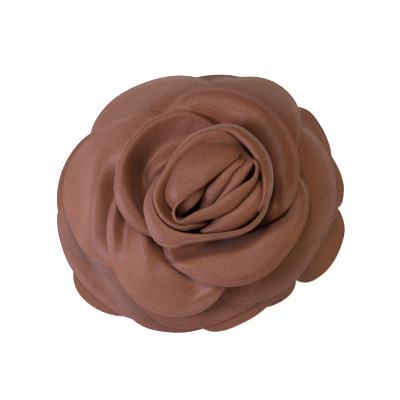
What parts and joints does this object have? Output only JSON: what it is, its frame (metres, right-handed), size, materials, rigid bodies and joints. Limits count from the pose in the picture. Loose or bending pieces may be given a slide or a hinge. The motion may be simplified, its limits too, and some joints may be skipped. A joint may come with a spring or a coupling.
{
  "type": "flower hair clip",
  "caption": "Large satin rose of overlapping round petals round a wrapped bud, glued to a felt disc with a sprung flat-jaw hair clip behind it.",
  "frame": {"origin": "middle of the flower's outline, on the surface that it lies on with the petals up", "axes": "+Z out of the flower's face, +X along the clip from its thumb end to its tip, +Y towards the flower's upper edge"},
  "size_m": [0.11, 0.102, 0.048],
  "materials": {
    "brown_satin": "chocolate brown satin with a soft sheen",
    "brown_felt": "matte felt",
    "hot_glue": "translucent glue",
    "clip_steel": "nickel plated sheet steel",
    "spring_steel": "spring wire"
  },
  "bodies": {
    "flower": {"back_petal_top": "brown_satin", "back_petal_left": "brown_satin", "back_petal_lower_left": "brown_satin", "back_petal_bottom": "brown_satin", "back_petal_bottom_right": "brown_satin", "back_petal_lower_right": "brown_satin", "back_petal_right": "brown_satin", "outer_petal_upper_right": "brown_satin", "outer_petal_lower_left": "brown_satin", "outer_petal_lower_right": "brown_satin", "middle_petal_bottom": "brown_satin", "middle_petal_lower_right": "brown_satin", "middle_petal_right": "brown_satin", "middle_petal_upper_right": "brown_satin", "middle_petal_upper_left": "brown_satin", "front_petal_left": "brown_satin", "front_petal_lower_left": "brown_satin", "front_petal_lower_right": "brown_satin", "crescent_petal_upper_right": "brown_satin", "crescent_petal_left": "brown_satin", "collar_petal": "brown_satin", "heart_outer_ring": "brown_satin", "heart_inner_ring": "brown_satin", "heart_wrap": "brown_satin", "heart_curl": "brown_satin", "heart_hood": "brown_satin", "heart_tongue": "brown_satin", "rolled_core": "brown_satin", "glue_layer": "hot_glue", "felt_backing": "brown_felt", "clip_cover": "brown_felt", "upper_jaw": "clip_steel", "hinge_pin": "clip_steel", "torsion_spring": "spring_steel"},
    "lower_jaw": {"lower_jaw": "clip_steel"}
  },
  "joints": [
    {"name": "jaw_hinge", "type": "hinge", "parent": "flower", "child": "lower_jaw", "pos_m": [-0.015, 0, 0.0066], "axis": [0, 1, 0], "range_deg": [0, 35], "stiffness_Nm_per_rad": 0.05, "springref_deg": -57.3, "deforming": ["torsion_spring"]}
  ]
}
